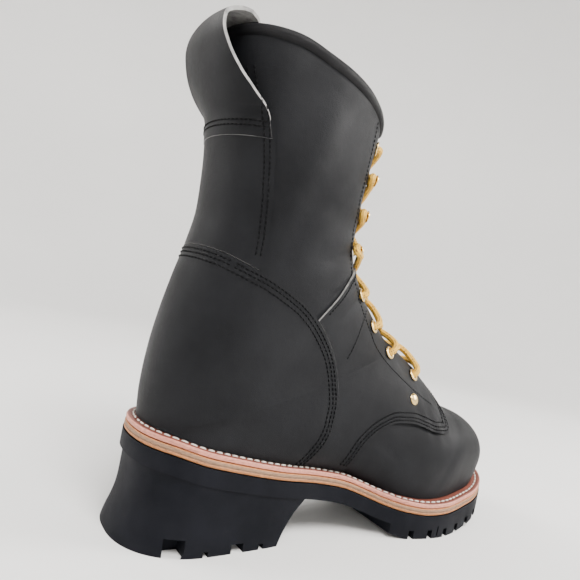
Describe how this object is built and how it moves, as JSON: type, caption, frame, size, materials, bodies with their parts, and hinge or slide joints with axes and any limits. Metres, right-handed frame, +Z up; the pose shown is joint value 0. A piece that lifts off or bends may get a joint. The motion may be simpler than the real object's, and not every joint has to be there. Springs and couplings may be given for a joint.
{
  "type": "logger boot",
  "caption": "Laced black leather logger boot for the right foot: nine inch shaft, welted lug sole with a high block heel, pull loop at the back, brass eyelets and speed hooks",
  "frame": {"origin": "bottom centre of the boot's bounding box, on the floor it stands on", "axes": "+X towards the toe, +Y towards the inner side of the foot, +Z up"},
  "size_m": [0.303, 0.1066, 0.2956],
  "materials": {
    "rubber": "matte moulded blue-black rubber",
    "midsole_leather": "stacked tan leather edge, rough on top",
    "welt_leather": "reddish brown leather, smooth",
    "footbed_leather": "natural leather footbed",
    "black_leather": "oiled charcoal black leather with grey cut edges",
    "brass": "polished brass",
    "lace_cord": "round braided yellow cord with brown flecks"
  },
  "bodies": {
    "root": {"outsole": "rubber", "midsole": "midsole_leather", "welt": "welt_leather", "insole": "footbed_leather", "upper": "black_leather", "heel_counter": "black_leather", "quarter_outer": "black_leather", "quarter_inner": "black_leather", "backstay": "black_leather", "collar_roll": "black_leather", "tongue": "black_leather", "eyelet_outer_1": "brass", "eyelet_outer_2": "brass", "eyelet_outer_3": "brass", "eyelet_outer_4": "brass", "eyelet_outer_5": "brass", "speed_hook_outer_1": "brass", "speed_hook_outer_2": "brass", "speed_hook_outer_3": "brass", "rivet_outer": "brass", "eyelet_inner_1": "brass", "eyelet_inner_2": "brass", "eyelet_inner_3": "brass", "eyelet_inner_4": "brass", "eyelet_inner_5": "brass", "speed_hook_inner_1": "brass", "speed_hook_inner_2": "brass", "speed_hook_inner_3": "brass", "rivet_inner": "brass", "laces": "lace_cord"}
  },
  "joints": []
}
